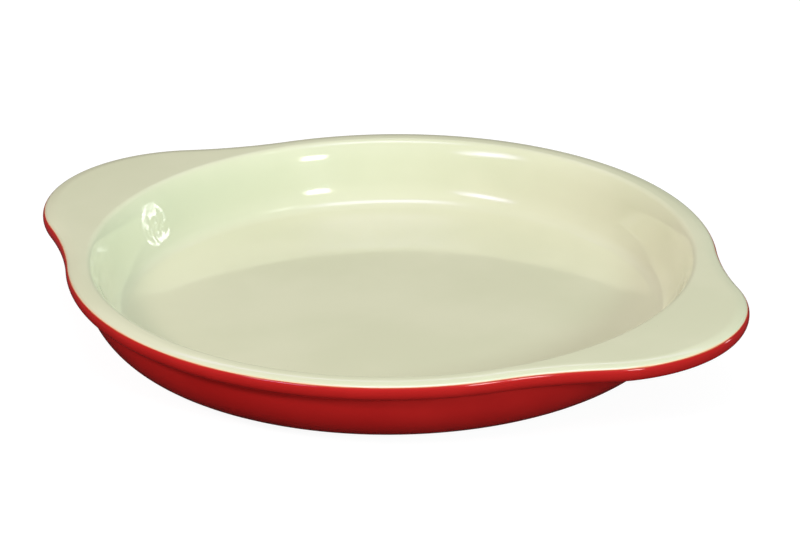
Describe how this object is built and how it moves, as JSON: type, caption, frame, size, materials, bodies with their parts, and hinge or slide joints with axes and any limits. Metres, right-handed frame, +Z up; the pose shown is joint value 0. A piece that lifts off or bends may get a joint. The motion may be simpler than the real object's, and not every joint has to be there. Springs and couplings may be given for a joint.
{
  "type": "cast iron egg dish",
  "caption": "Shallow round enamelled iron dish with a sloping wall, a flat rim and flat tab handles on opposite sides, for baking and serving eggs.",
  "frame": {"origin": "on the plane that the foot ring stands on, under the middle of the well", "axes": "+Z up out of the well, +X along the two handles, +Y across them"},
  "size_m": [0.2412, 0.2, 0.026],
  "materials": {
    "cast_iron": "as cast, dark grey, fully covered by the enamel",
    "cream_enamel": "glossy fired enamel, cream with a faint green cast",
    "red_enamel": "glossy fired enamel, deep cherry red"
  },
  "bodies": {
    "root": {"iron_casting": "cast_iron", "cream_lining": "cream_enamel", "red_outer_coat": "red_enamel"}
  },
  "joints": []
}
